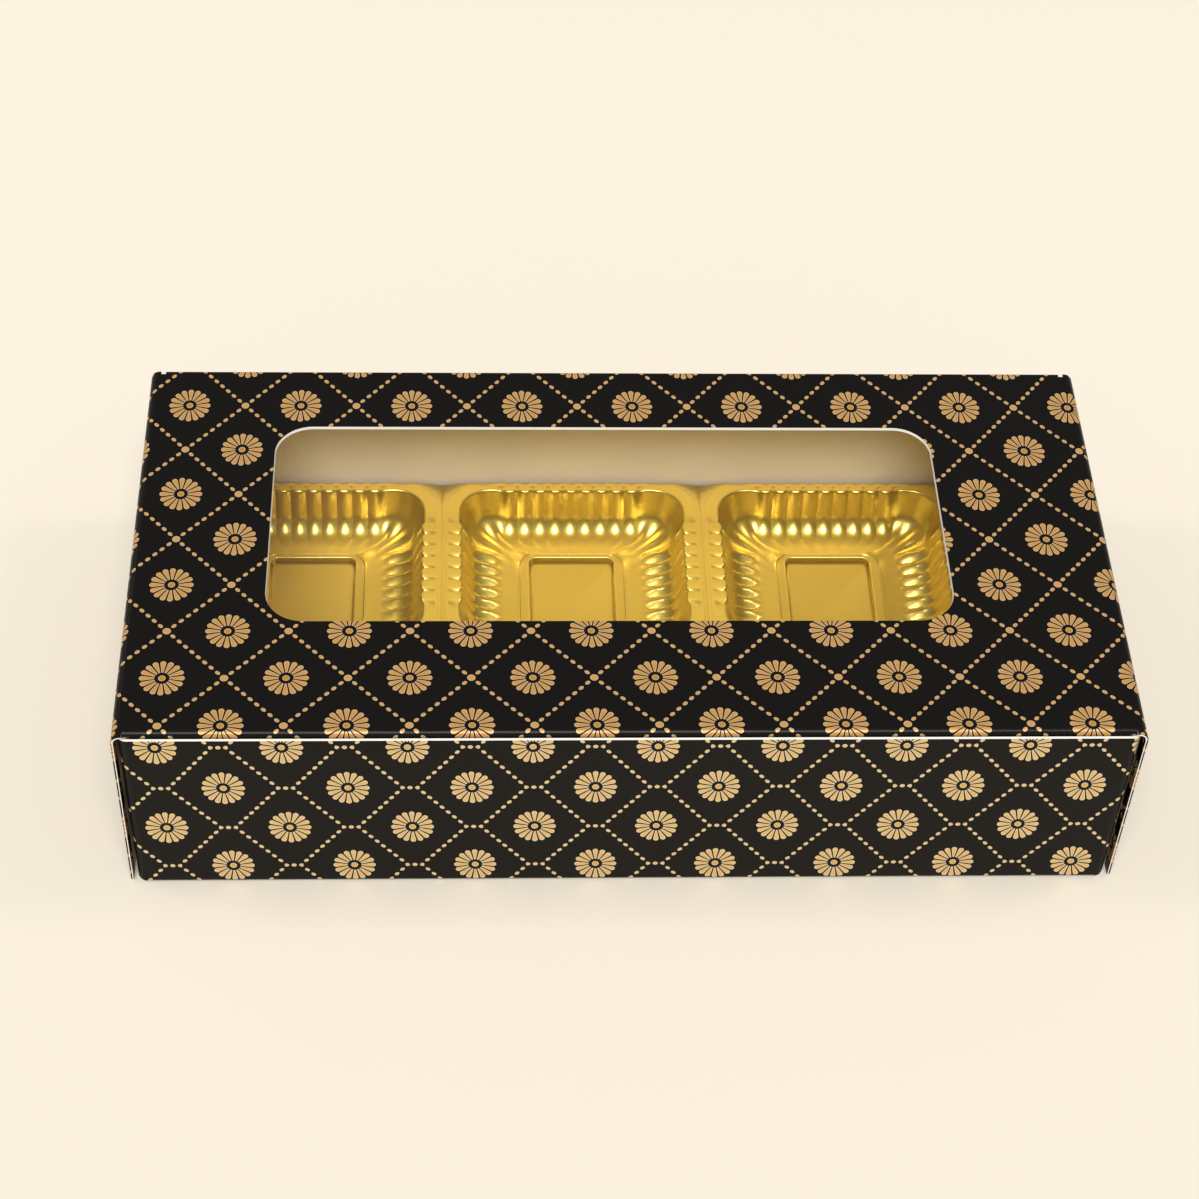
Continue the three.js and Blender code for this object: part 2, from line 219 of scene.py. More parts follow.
# The same gold ink on both: the wall print's paler gold is painted light, for walls whose front faces
# catch more light than the lid's top
lid_print = printed_board(
    "lid_print", pitch=19.72, rows=10.12, askew=(0.018, 0.00029, 0.0008),
    flower=(0.965, 0.965), reach=0.0, node=0.66, beads=9,
    fill=(0.56, 0.27, 0.045, 1), rim=(0.85, 0.62, 0.37, 1), gloss=0.16,
)
wall_print = printed_board(
    "wall_print", pitch=19.88, rows=10.335, askew=(0.0335, 0.00028, 0),
    flower=(0.92, 1.08), reach=1.15, node=0.4, beads=8,
    fill=(0.72, 0.43, 0.10, 1), rim=(0.97, 0.86, 0.66, 1), gloss=0.08,
)
plain_side = bare_board("plain_side", PLAIN_BOARD, roughness=0.75)
cut_edge = bare_board("cut_edge", CUT_BOARD, roughness=0.8)


def add_piece(name, points, faces, materials, slots, sharp=SHARP):
    """An object at the origin from points in millimetres, with edges split where faces turn."""
    mesh = bpy.data.meshes.new(name)
    mesh.from_pydata((points * MM).tolist(), [], faces)
    for material in materials:
        mesh.materials.append(material)
    mesh.polygons.foreach_set("material_index", slots)
    mesh.polygons.foreach_set("use_smooth", np.ones(len(faces), bool))
    mesh.set_sharp_from_angle(angle=sharp)
    made = bpy.data.objects.new(name, mesh)
    bpy.context.collection.objects.link(made)
    return made


def board_piece(name, face, inward, blank, outside, closed=False, thickness=BOARD, ink_over=0.1):
    """A sheet from a grid of points on its printed face: the plain face lies a thickness along the
    inward directions, and edges join the two, where the die draws the ink over a share of the cut.
    A closed grid's last column meets its first."""
    turned = np.cross(face[1, 0] - face[0, 0], face[0, 1] - face[0, 0]) @ inward[0, 0] > 0
    order = slice(None, None, -1 if turned else 1)
    face, inward, blank = face[order], inward[order], blank[order]
    rows, columns = face.shape[:2]
    count = rows * columns
    index = np.arange(count).reshape(rows, columns)
    if closed:
        index = np.hstack([index, index[:, :1]])
    quads = np.stack([index[:-1, :-1], index[1:, :-1], index[1:, 1:], index[:-1, 1:]], -1)
    quads = quads.reshape(-1, 4)
    starts = [index[-1, :-1], index[0, 1:]]
    ends = [index[-1, 1:], index[0, :-1]]
    if not closed:
        starts += [index[:-1, 0], index[1:, -1]]
        ends += [index[1:, 0], index[:-1, -1]]
    starts, ends = np.hstack(starts), np.hstack(ends)
    border = np.unique(starts)
    inked = np.zeros(count, int)
    inked[border] = 2 * count + np.arange(len(border))
    upper = np.stack([ends, starts, inked[starts], inked[ends]], -1)
    lower = np.stack([inked[ends], inked[starts], starts + count, ends + count], -1)
    face, inward, blank = face.reshape(-1, 3), inward.reshape(-1, 3), blank.reshape(-1, 2)
    edge = (face + ink_over * thickness * inward)[border]
    points = np.vstack([face, face + thickness * inward, edge])
    faces = np.vstack([quads, quads[:, ::-1] + count, upper, lower])
    slots = np.repeat([0, 1, 0, 2], [len(quads), len(quads), len(upper), len(lower)])
    made = add_piece(name, points, faces.tolist(), [outside, plain_side, cut_edge], slots)
    printed = np.pad(np.vstack([blank, blank, blank[border]]), ((0, 0), (0, 1)))
    attribute = made.data.attributes.new("print", "FLOAT_VECTOR", "POINT")
    attribute.data.foreach_set("vector", printed.ravel())
    return made


def grid(first, second):
    """Two coordinate arrays as one grid of pairs."""
    return np.stack(np.meshgrid(first, second, indexing="ij"), -1)


SIDE_WALL = 80.65
HALF_DEPTH = 42.25
flat = grid(np.array([-1, 1]) * (SIDE_WALL - FOLD), np.array([-1, 1]) * (HALF_DEPTH - FOLD))
face = np.dstack([flat, np.zeros((2, 2))])
base_panel = board_piece("base_sheet", face, np.zeros((2, 2, 3)) + (0, 0, 1), flat, wall_print)
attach(base_panel, "tray")
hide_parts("base_panel")

# Tray walls
# Four walls of the same board, folded up from the base along rounded creases. The front wall's
# raw white top edge shows; the back wall runs on over the hinge crease into the lid.
WALL_TOP = 37.2
BOX_TOP = 38.0
LONG_WALL = 79.85
SIDE_LENGTH = 41.05
CREASE_LEAD = 0.2
TURN_STEPS = 10
RUN_STEPS = 6
WALL_PLACES = 9
QUARTER = np.pi / 2
LID_FLOWER = np.array([-6.15, -19.8])
WALL_FLOWER = np.array([3.91, 35.65])


def walk(start, *steps, fold=FOLD):
    """A folded board in section: points along its printed face, directions to its plain side and
    the length walked. It sets out along +x with the plain side at -y; each step is a straight run
    and then a turn to the plain side round the fold's radius."""
    place, heading, walked = np.array(start, float), 0.0, 0.0
    points, sides, lengths = [place[None]], [np.array([[0.0, -1.0]])], [np.zeros(1)]
    for run, turn in steps:
        share = np.linspace(0, 1, RUN_STEPS + 1)[1:]
        ahead = np.array([np.cos(heading), np.sin(heading)])
        side = np.array([np.sin(heading), -np.cos(heading)])
        points.append(place + np.outer(share * run, ahead))
        sides.append(np.tile(side, (RUN_STEPS, 1)))
        lengths.append(walked + share * run)
        place, walked = points[-1][-1], walked + run
        if turn:
            angles = heading - turn * np.linspace(0, 1, TURN_STEPS + 1)[1:]
            turned = np.stack([np.sin(angles), -np.cos(angles)], -1)
            points.append(place + fold * (side - turned))
            sides.append(turned)
            lengths.append(walked + fold * (heading - angles))
            place, heading, walked = points[-1][-1], angles[-1], walked + fold * turn
    return np.vstack(points), np.vstack(sides), np.hstack(lengths)


def drawn_out(section, right, up, crease, places):
    """A section repeated at places along its crease; right, up and crease are its directions."""
    points, sides, lengths = section
    axes = np.array([right, up], float)
    face = (points @ axes)[:, None] + np.multiply.outer(places, np.array(crease, float))[None]
    inward = np.broadcast_to((sides @ axes)[:, None], face.shape)
    return face, inward, grid(lengths, places)


# Each wall's outward and crease directions, its distance from the middle, half length and top
WALLS = {
    "front_wall": ((0, -1, 0), (1, 0, 0), HALF_DEPTH, LONG_WALL, WALL_TOP),
    "back_wall": ((0, 1, 0), (1, 0, 0), HALF_DEPTH, LONG_WALL, BOX_TOP - FOLD - CREASE_LEAD),
    "left_wall": ((-1, 0, 0), (0, 1, 0), SIDE_WALL, SIDE_LENGTH, WALL_TOP),
    "right_wall": ((1, 0, 0), (0, 1, 0), SIDE_WALL, SIDE_LENGTH, WALL_TOP),
}
for name, (out, crease, outside, half_length, top) in WALLS.items():
    section = walk((outside - FOLD - CREASE_LEAD, 0), (CREASE_LEAD, QUARTER), (top - FOLD, 0))
    places = np.linspace(-half_length, half_length, WALL_PLACES)
    face, inward, blank = drawn_out(section, out, (0, 0, -1), crease, places)
    height = blank[..., 0] - CREASE_LEAD - FOLD * QUARTER + FOLD
    if name == "back_wall":
        past_fold = HALF_DEPTH - FOLD + FOLD * QUARTER + BOX_TOP - FOLD - height
        blank = np.stack([blank[..., 1], past_fold], -1) - LID_FLOWER
        printed = lid_print
    else:
        blank = np.stack([blank[..., 1], height], -1) - WALL_FLOWER
        printed = wall_print
    wall = board_piece(name + "_sheet", face, inward, blank, printed)
    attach(wall, "tray")
    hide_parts(name)

# Corner tabs
# The ends of the front and back walls, turned round the corners and glued outside the side walls.
# Their edges are die-cut, tapering a little away from the fold.
TAB_LENGTH = 15.0
TAB_FOLD = 1.5
TAB_TAPER = 2.5
TAB_BOTTOM = 0.5
TAB_PLACES = 7
for name, out, along in (
    ("front_left_tab", -1, -1),
    ("front_right_tab", 1, -1),
    ("back_left_tab", -1, 1),
    ("back_right_tab", 1, 1),
):
    section = walk((LONG_WALL, HALF_DEPTH), (0, QUARTER), (TAB_LENGTH, 0), fold=TAB_FOLD)
    places = np.linspace(TAB_BOTTOM, WALL_TOP, TAB_PLACES)
    face, inward, blank = drawn_out(section, (out, 0, 0), (0, along, 0), (0, 0, 1), places)
    middle = (TAB_BOTTOM + WALL_TOP) / 2
    narrowed = 1 - blank[..., 0] / blank[-1, 0, 0] * TAB_TAPER / (WALL_TOP - middle)
    face[..., 2] = middle + (face[..., 2] - middle) * narrowed
    blank = np.stack([out * (LONG_WALL + blank[..., 0]), face[..., 2]], -1) - WALL_FLOWER
    tab = board_piece(name + "_sheet", face, inward, blank, wall_print)
    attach(tab, "tray")
    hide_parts(name)

# Insert
# One sheet of metallised plastic, vacuum-formed over a mould into six cavities. Each has a raised
# band round its mouth, a fluted wall, a hollow fillet, a beaded floor and a sunk middle.
# Lighter gold where the sheet lies flat and a darker gold where it was drawn down; the darker gold is
# partly painted shade on the walls, strokes and dimples
GOLD = (0.95, 0.66, 0.10, 1)
DRAWN_SHADED_GOLD = (0.71, 0.54, 0.095, 1)
# Brown gold painted as shade on the wall of the sunk middle and in a thin line beside the bead
RECESS_SHADE_GOLD = (0.34, 0.23, 0.04, 1)
METAL = 0.88
SATIN = 0.5
GOLD_ROUGHNESS = 0.27
HAZE_ROUGHNESS = 0.05
SATIN_ROUGHNESS = 0.03
LACQUER = 0.7
LACQUER_ROUGHNESS = 0.2
LACQUER_IOR = 1.7
SHEET = 0.3
SHEET_SHARP = np.radians(50)
RIM = 10.8
CAVITY = np.array([40.833, 35.55]) / 2
COLUMNS = np.array([-54.933, -7.3, 40.333])
ROWS = np.array([-21.175, 21.175])
COLUMN_EDGES = np.array([-79.55, -31.117, 16.517, 79.55])
ROW_EDGES = np.array([-41.15, 0, 41.15])
INSERT_CORNER = 6.0
DIMPLE_REACH = 4.6
DIMPLE_DROP = 0.6
BAND = 2.5
BAND_GAP = 0.5
BAND_RISE = 0.35

# The band's outer step: distance out from the band's edge, and share of the step below the rim
BAND_SECTION = ((0.15, 1.0), (-0.02, 0.75), (-0.2, 0.2), (-0.4, 0.0))

# The strokes across the band, and the cavity's walls from the lip down to the foot of the ribs
STROKE = 0.32
STROKE_START = 0.76
STROKE_MIDDLE = 0.62
STROKE_SHADE = 0.8
CAVITY_CORNER = 5.5
CORNER_SHRINK = 0.75
LEAST_CORNER = 2.0
LIP = 0.45
LIP_TURNS = np.radians([0, 30, 60, 90])
STEEP = np.array([1.4, 0.8])
STEEP_DROP = 4.4
STEEP_RINGS = np.array([1.8, 3.4])
FILLET = np.array([5.8, 5.2])
FILLET_DROP = 4.0
FILLET_STEPS = 8
FOOT = 0.6
FOOT_LEVELS = (0.15, 0.35, 0.55)
FLUTE_PITCH = 2.83
FLUTES = (7, 9)
FLUTE_STEPS = 6
VALLEY = 0.01
RIB_ROOM = 0.97
CORNER_STEPS = 10
CORNER_RIBS = 4

# How far the ribs stand out at drops below the rim: on the side walls, the end walls, the corners
SIDE_RIBS = np.array([
    (0, 0.45), (0.45, 0.5), (1.6, 0.55), (5, 0.65), (7.7, 0.75), (8.1, 0.9), (8.32, 0.7), (8.4, 0.2),
])
END_RIBS = np.array([(0, 0.35), (0.45, 0.4), (1.6, 0.5), (5, 0.6), (7, 0.45), (8.4, 0.08)])
CORNER_FAN = np.array([(1.6, 0), (5, 0.2), (7.4, 0.45), (8.4, 0.25)])

# The floor from the bead in: distance out from the recess, rise, and how flat the sheet lies there,
# which also paints light: raised for painted highlights on the bead and the recess's top edge, below
# zero for painted shade beside the bead and on the recess's wall
RECESS = np.array([7.82, 8.58])
RECESS_CORNER = 1.3
LEAST_RECESS_CORNER = 0.6
BEAD_SHAPE = np.array([1.0, 0.45])
FLOOR_LEVEL = 0.75
FLOOR_STEPS = (
    (2.2, 0, FLOOR_LEVEL), (2.06, 0.08, 0.5), (1.9, 0.16, 1), (1.74, 0.08, -0.3),
    (1.6, 0, FLOOR_LEVEL), (0.35, 0, FLOOR_LEVEL), (0.12, -0.05, 1), (-0.02, -0.25, -0.6),
    (-0.25, -1.2, -1), (-0.36, -1.44, 0), (-0.6, -1.5, FLOOR_LEVEL),
)


def outline(half, corner, shares, angles):
    """A rounded rectangle walked anticlockwise from its right side, and its outward directions.
    Each side gives places at shares of its straight part and then places round its corner."""
    points, normals = [], []
    for side in range(4):
        across, straight = half[side % 2], half[(side + 1) % 2] - corner
        turn = np.linalg.matrix_power(np.array([[0, 1], [-1, 0]]), side)
        line = np.stack([np.full(len(shares[side]), across), shares[side] * straight], -1)
        round_corner = np.stack([np.cos(angles[side]), np.sin(angles[side])], -1)
        arc = (across - corner, straight) + corner * round_corner
        points.append(np.vstack([line, arc]) @ turn)
        normals.append(np.vstack([np.zeros_like(line) + (1, 0), round_corner]) @ turn)
    return np.vstack(points), np.vstack(normals)


def corner_angles(half, corner, reach, steps):
    """For each corner, places round it, of which one faces the corner of a box round the outline.
    The box's sides lie at reach from the middle, in the outline's order."""
    angles = []
    for side in range(4):
        facing = np.arctan2(
            reach[(side + 1) % 4] - half[(side + 1) % 2] + corner,
            reach[side] - half[side % 2] + corner,
        )
        before = np.linspace(0, facing, steps // 2, endpoint=False)
        after = np.linspace(facing, QUARTER, steps // 2, endpoint=False)
        angles.append(np.hstack([before, after]))
    return angles


def out_to_box(points, normals, reach):
    """Where rays from an outline meet a box round it."""
    limits = np.where(normals > 0, (reach[0], reach[1]), (-reach[2], -reach[3]))
    level = np.abs(normals) < 1e-9
    distance = np.where(level, np.inf, (limits - points) / np.where(level, 1, normals))
    return points + normals * distance.min(-1)[:, None]


def insert_edge(edge):
    """A cell's edge with the insert's corners rounded, and each place's share of the dimple at the
    outer end of a divider, which fades with distance."""
    size = np.array([COLUMN_EDGES[-1], ROW_EDGES[-1]])
    at_ends = grid(COLUMN_EDGES[1:-1], ROW_EDGES[[0, -1]]).reshape(-1, 2)
    at_sides = grid(COLUMN_EDGES[[0, -1]], ROW_EDGES[1:-1]).reshape(-1, 2)
    dimples = np.vstack([at_ends, at_sides])
    away = np.linalg.norm(edge[:, None] - dimples, axis=-1).min(-1) / DIMPLE_REACH
    dip = np.clip(1 - away, 0, 1)
    centre = np.sign(edge) * (size - INSERT_CORNER)
    at_corner = (np.abs(edge) > size - INSERT_CORNER).all(-1, keepdims=True)
    away = np.linalg.norm(edge - centre, axis=-1, keepdims=True)
    return np.where(at_corner, centre + INSERT_CORNER * (edge - centre) / away, edge), dip


def flute_shares(half, corner):
    """For each side of an outline, places along its straight part as shares of it. The ribs run
    straight down at their own pitch, and only draw together where the straight part gets short."""
    shares = []
    for side in range(4):
        count = FLUTES[side % 2]
        straight = half[(side + 1) % 2] - corner
        reach = min(count * FLUTE_PITCH / 2 / straight, RIB_ROOM)
        margin = (1 + reach) / 2
        along = np.linspace(-reach, reach, count * FLUTE_STEPS + 1)
        shares.append(np.hstack([-1, -margin, along, margin]))
    return shares


def around(sides, corners):
    """Values along the four sides and round the corners between them, in the outline's order."""
    return np.hstack([part for pair in zip(sides, corners) for part in pair])


def cavity(middle, cell):
    """The rings of one cavity, from the edge of its cell in to its sunk floor, how flat the sheet
    lies at each place, which also carries painted shade and highlights, and which places are in a
    valley between two ribs. A rib is half a sine wave that stands out along the wall's own normal,
    and smaller ones fan out round the corners."""
    reach = np.array([cell[1, 0], cell[1, 1], -cell[0, 0], -cell[0, 1]])
    reach += (-middle[0], -middle[1], middle[0], middle[1])
    angles = corner_angles(CAVITY, CAVITY_CORNER, reach, CORNER_STEPS)
    plain = [0 * turn for turn in angles]
    waves = [
        np.abs(np.sin(np.pi * np.arange(count * FLUTE_STEPS + 1) / FLUTE_STEPS))
        for count in FLUTES * 2
    ]
    rib = around([np.hstack([0, 0, wave, 0]) for wave in waves], plain)
    groove = around([np.hstack([0, 0, wave < VALLEY, 0]) for wave in waves], plain)
    inner = [np.hstack([0, 0, 0, wave[1:-1] < VALLEY, 0, 0]) for wave in waves]
    inner = around(inner, plain) > 0
    corner_ribs = [np.abs(np.sin(CORNER_RIBS * turn)) for turn in angles]
    fan = around([np.zeros(len(wave) + 3) for wave in waves], corner_ribs)
    rings, levels, valleys = [], [], []

    def add_ring(flat, height, level, valley=False):
        """Keeps one ring, with its heights, how flat it lies, which also carries painted shade and
        highlights, and whether its valleys are marked.
        """
        rings.append(np.column_stack([flat, height + np.zeros(len(flat))]))
        levels.append(level + np.zeros(len(flat)))
        valleys.append(inner & valley)

    # Step at the cell's edge, then a raised band with a short stroke across it at each valley; the
    # dimples at the dividers' ends and the strokes take darker drawn gold, as painted shade
    shares = flute_shares(CAVITY, CAVITY_CORNER)
    mouth, normals = outline(CAVITY + LIP, CAVITY_CORNER + LIP, shares, angles)
    edge, dip = insert_edge(out_to_box(mouth, normals, reach) + middle)
    mouth = mouth + middle
    width = np.linalg.norm(edge - mouth, axis=-1)
    outward = (edge - mouth) / width[:, None]
    band = np.minimum(width - BAND_GAP, BAND)
    add_ring(edge, RIM - BAND_RISE - DIMPLE_DROP * dip, 1 - dip)
    for off, share in BAND_SECTION:
        add_ring(mouth + (band + off)[:, None] * outward, RIM - BAND_RISE * share, 1)
    stroke_start = mouth + (STROKE_START * band)[:, None] * outward
    stroke_middle = mouth + (STROKE_MIDDLE * band)[:, None] * outward
    add_ring(stroke_start, RIM, 1)
    add_ring(stroke_middle, RIM - STROKE * groove, 1 - STROKE_SHADE * groove)

    # Rolled lip, steep fluted wall and hollow fillet
    fillet = np.linspace(0, QUARTER, FILLET_STEPS + 1)[1:]
    lip_in, lip_drop = LIP * (np.sin(LIP_TURNS) - 1), LIP * (1 - np.cos(LIP_TURNS))
    steep_in = np.outer((STEEP_RINGS - LIP) / (STEEP_DROP - LIP), STEEP)
    wall_in = np.vstack([np.stack([lip_in, lip_in], -1), steep_in])
    inset = np.vstack([wall_in, STEEP + np.outer(1 - np.cos(fillet), FILLET)])
    drop = np.hstack([lip_drop, STEEP_RINGS, STEEP_DROP + FILLET_DROP * np.sin(fillet)])
    facing = np.outer(np.cos(fillet), 1 / FILLET)
    rising = np.sin(fillet)[:, None] / FILLET_DROP
    steepness = np.vstack([np.ones((len(wall_in), 2)), facing / np.hypot(facing, rising)])
    swell = np.stack([np.interp(drop, *SIDE_RIBS.T), np.interp(drop, *END_RIBS.T)], -1)
    spread = np.interp(drop, *CORNER_FAN.T)
    level = np.zeros(len(drop))
    level[0] = 1
    level[-len(FOOT_LEVELS):] = FOOT_LEVELS
    for ring, (inward, part, fall) in enumerate(zip(inset, steepness, drop)):
        corner = max(CAVITY_CORNER - CORNER_SHRINK * inward[1], LEAST_CORNER)
        shares = flute_shares(CAVITY - inward, corner)
        points, normals = outline(CAVITY - inward, corner, shares, angles)
        size = rib * (normals ** 2 @ swell[ring]) + spread[ring] * fan
        lift = size * (normals ** 2 @ np.sqrt(1 - part ** 2))
        nick = STROKE * groove * np.clip(1 - fall, 0, 1)
        points = points - normals * part * size[:, None]
        add_ring(points + middle, RIM - fall + lift - nick, level[ring], ring > 0)

    # Foot of the ribs, and the floor with a bead round the sunk middle
    floor = RIM - STEEP_DROP - FILLET_DROP
    points, _ = outline(CAVITY - inset[-1] - FOOT, corner, shares, angles)
    add_ring(points + middle, floor, FLOOR_LEVEL)
    for off, rise, flat in FLOOR_STEPS:
        corner = max(RECESS_CORNER + off, LEAST_RECESS_CORNER)
        half = RECESS + max(off, 0) * BEAD_SHAPE + min(off, 0)
        points, _ = outline(half, corner, shares, angles)
        add_ring(points + middle, floor + rise, flat)
    return np.array(rings), np.array(levels), np.array(valleys)


points, faces, levels, valleys, first = [], [], [], [], 0
for row, y in enumerate(ROWS):
    for column, x in enumerate(COLUMNS):
        low = (COLUMN_EDGES[column], ROW_EDGES[row])
        high = (COLUMN_EDGES[column + 1], ROW_EDGES[row + 1])
        rings, level, valley = cavity(np.array([x, y]), np.array([low, high]))
        index = first + np.arange(rings.shape[0] * rings.shape[1]).reshape(rings.shape[:2])
        index = np.hstack([index, index[:, :1]])
        quads = np.stack([index[:-1, :-1], index[:-1, 1:], index[1:, 1:], index[1:, :-1]], -1)
        faces += quads.reshape(-1, 4).tolist() + [index[-1, :-1].tolist()]
        points.append(rings.reshape(-1, 3))
        levels.append(level.ravel())
        valleys.append(valley.ravel())
        first += rings.shape[0] * rings.shape[1]


def gold_sheet():
    """Metallised plastic under clear lacquer: satin where it lies flat, deeper in colour and brighter
    in its metallic gloss where it was drawn down over the mould, where its darker gold is partly
    painted shade; a brown painted shade on the wall of the sunk middle and beside the bead; and a
    gloss that wavers a little."""
    material, shader, start = new_material("gold_sheet")
    level = start.node("ShaderNodeAttribute", attribute_name="level", result=2)
    # Below zero the level mixes in the brown painted shade
    painted_shade = start.node("ShaderNodeClamp", 0 - level)
    mixed(painted_shade, mixed(level, DRAWN_SHADED_GOLD, GOLD), RECESS_SHADE_GOLD).to(shader, "Base Color")
    (METAL - SATIN * level.math("MAXIMUM", 0)).to(shader, "Metallic")
    haze = grain(start, scale=260, detail=3)
    (GOLD_ROUGHNESS + HAZE_ROUGHNESS * haze + SATIN_ROUGHNESS * level).to(shader, "Roughness")
    bumped(grain(start, scale=300, detail=2), strength=0.02, depth=0.2).to(shader, "Normal")
    shader.inputs["Coat Weight"].default_value = LACQUER
    shader.inputs["Coat Roughness"].default_value = LACQUER_ROUGHNESS
    shader.inputs["Coat IOR"].default_value = LACQUER_IOR
    return material


slots = np.zeros(len(faces), int)
points = np.vstack(points)
insert = add_piece("insert_sheet", points, faces, [gold_sheet()], slots, sharp=SHEET_SHARP)
edge_ends = np.empty(2 * len(insert.data.edges), int)
insert.data.edges.foreach_get("vertices", edge_ends)
sharp = np.empty(len(insert.data.edges), bool)
insert.data.edges.foreach_get("use_edge_sharp", sharp)
in_valley = np.hstack(valleys)[edge_ends.reshape(-1, 2)].all(-1)
insert.data.edges.foreach_set("use_edge_sharp", sharp | in_valley)
level = insert.data.attributes.new("level", "FLOAT", "POINT")
level.data.foreach_set("value", np.hstack(levels))
thickness = insert.modifiers.new("thickness", "SOLIDIFY")
thickness.thickness = SHEET * MM
thickness.offset = -1
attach(insert, "insert")
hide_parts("insert")

# Lid panel
# The top of the lid, one piece with the back wall over the hinge crease. The window is die-cut
# with rounded corners, so the board's white core shows round it.
HALF_WIDTH = 82.5
TUCK_OUTSIDE = 41.45
WINDOW = np.array([[-59.7, -17.65], [54.6, 27.85]])
WINDOW_CORNER = 6.5
WINDOW_SLOPE = 0.35
SIDE_FOLD = 1.6
WINDOW_CORNER_STEPS = 24
WINDOW_SIDE_STEPS = 12
LID_RINGS = 7
flat_half = HALF_WIDTH - SIDE_FOLD - CREASE_LEAD
lid_low = np.array([-flat_half, -(TUCK_OUTSIDE - FOLD - CREASE_LEAD)])
lid_high = np.array([flat_half, HALF_DEPTH - FOLD - CREASE_LEAD])
middle = WINDOW.mean(0)
half_window = (WINDOW[1] - WINDOW[0]) / 2
reach = np.hstack([lid_high - middle, middle - lid_low])
angles = corner_angles(half_window, WINDOW_CORNER, reach, WINDOW_CORNER_STEPS)
shares = [np.linspace(-1, 1, WINDOW_SIDE_STEPS, endpoint=False)] * 4
window, normals = outline(half_window, WINDOW_CORNER, shares, angles)
edge = out_to_box(window, normals, reach)
across = np.linspace(0, 1, LID_RINGS)[:, None, None]
flat = middle + window + across * (edge - window)
face = np.dstack([flat, np.full(flat.shape[:2], BOX_TOP)])
inward = np.zeros_like(face) + (0, 0, -1)
inward[0, :, :2] = -WINDOW_SLOPE * normals
lid_panel = board_piece("lid_sheet", face, inward, flat - LID_FLOWER, lid_print, closed=True)
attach(lid_panel, "lid")
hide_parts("lid_panel")

# The lid's front corners stay with the lid beside the tuck flap's shorter crease
CORNER_TURN = np.radians(72)
TUCK_HALF = 79.55
for name, out in (("lid_left_corner", -1), ("lid_right_corner", 1)):
    flat_end = TUCK_OUTSIDE - FOLD
    section = walk((flat_end - CREASE_LEAD, BOX_TOP), (CREASE_LEAD, CORNER_TURN))
    places = out * np.array([TUCK_HALF, flat_half])
    face, inward, blank = drawn_out(section, (0, -1, 0), (0, 0, 1), (1, 0, 0), places)
    past_fold = -(flat_end - CREASE_LEAD + blank[..., 0])
    blank = np.dstack([blank[..., 1], past_fold]) - LID_FLOWER
    corner = board_piece(name, face, inward, blank, lid_print, ink_over=0.9)
    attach(corner, "lid")

# Window film
# A rectangle of clear film glued under the lid round the window. It sags slightly and wavers, so
# its reflections are soft and uneven.
FILM = 0.2
FILM_TOP = 37.45
FILM_LAP = 7.0
FILM_SAG = 0.25
FILM_WAVER = 0.3
FILM_WAVES = (9, 8)
FILM_PLACES = (41, 25)
FILM_TINT = (0.95, 0.92, 0.86, 1)
FILM_ROUGHNESS = 0.08
FILM_SKIN = 0.003
# A whitish veil on the film's left part, painted reflection
FILM_GLARE = 0.007
GLARE_EDGE = -25.0
GLARE_FULL = -60.0


def clear_film():
    """Clear film: mostly see-through, with a thin glossy skin, and a faint whitish veil towards the
    left that is painted reflection.
    """
    material, shader, start = new_material("clear_film")
    shader.inputs["Base Color"].default_value = FILM_TINT
    shader.inputs["Roughness"].default_value = FILM_ROUGHNESS
    place = start.node("ShaderNodeTexCoord", result=3)
    x = start.node("ShaderNodeSeparateXYZ", place)
    limits = (GLARE_EDGE * MM, GLARE_FULL * MM, 0, 1)
    left = start.node("ShaderNodeMapRange", x, *limits, interpolation_type="SMOOTHSTEP")
    # The film grows more opaque towards the left, as a painted reflection
    (FILM_SKIN + FILM_GLARE * left).to(shader, "Alpha")
    return material


low, high = WINDOW[0] - FILM_LAP, WINDOW[1] + FILM_LAP
across = np.linspace(low[0], high[0], FILM_PLACES[0])
along = np.linspace(low[1], high[1], FILM_PLACES[1])
flat = grid(across, along)
inside = (flat - WINDOW[0]) / (WINDOW[1] - WINDOW[0])
slack = np.clip(inside * (1 - inside) * 4, 0, 1).prod(-1)
waves = np.sin(flat[..., 0] / FILM_WAVES[0] + np.cos(flat[..., 1] / FILM_WAVES[1]))
waver = 1 - FILM_WAVER + FILM_WAVER * waves
face = np.dstack([flat, FILM_TOP - FILM_SAG * slack * waver])
inward = np.zeros_like(face) + (0, 0, -1)
film = board_piece("film_sheet", face, inward, flat, clear_film(), thickness=FILM)
for slot in range(3):
    film.data.materials[slot] = film.data.materials[0]
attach(film, "lid")
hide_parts("window_film")

# Lid side flaps
# Two full-height flaps folded down from the lid and hanging outside the tray's sides. Their front
# edges are raw white board, and the die rounds their lower corners. A strip of the plain inner face
# behind each front edge takes the black print: painted shade in the gap beside the tray's corner.
FLAP_FRONT = -42.0
FLAP_BACK = 41.7
FLAP_BOTTOM = 0.15
FLAP_CORNER = 0.8
FLAP_BOARD = 0.4
FLAP_ROWS = 13
SHADE_STRIP = 2.5
BEND_PLACES = 10
EDGE_PLACES = 14


def rounded_ends(places, corner):
    """How much a flap's free edge is cut back at places along it, for round corners at its ends."""
    from_end = np.minimum(places - places[0], places[-1] - places)
    short = np.clip(corner - from_end, 0, corner)
    return corner - np.sqrt(corner ** 2 - short ** 2)


def dense_ends(low, high, corner):
    """Places from low to high, close together round the corners at both ends."""
    bend = corner * (1 - np.cos(np.linspace(0, QUARTER, BEND_PLACES)))
    return np.hstack([low + bend, np.linspace(low, high, EDGE_PLACES)[1:-1], (high - bend)[::-1]])


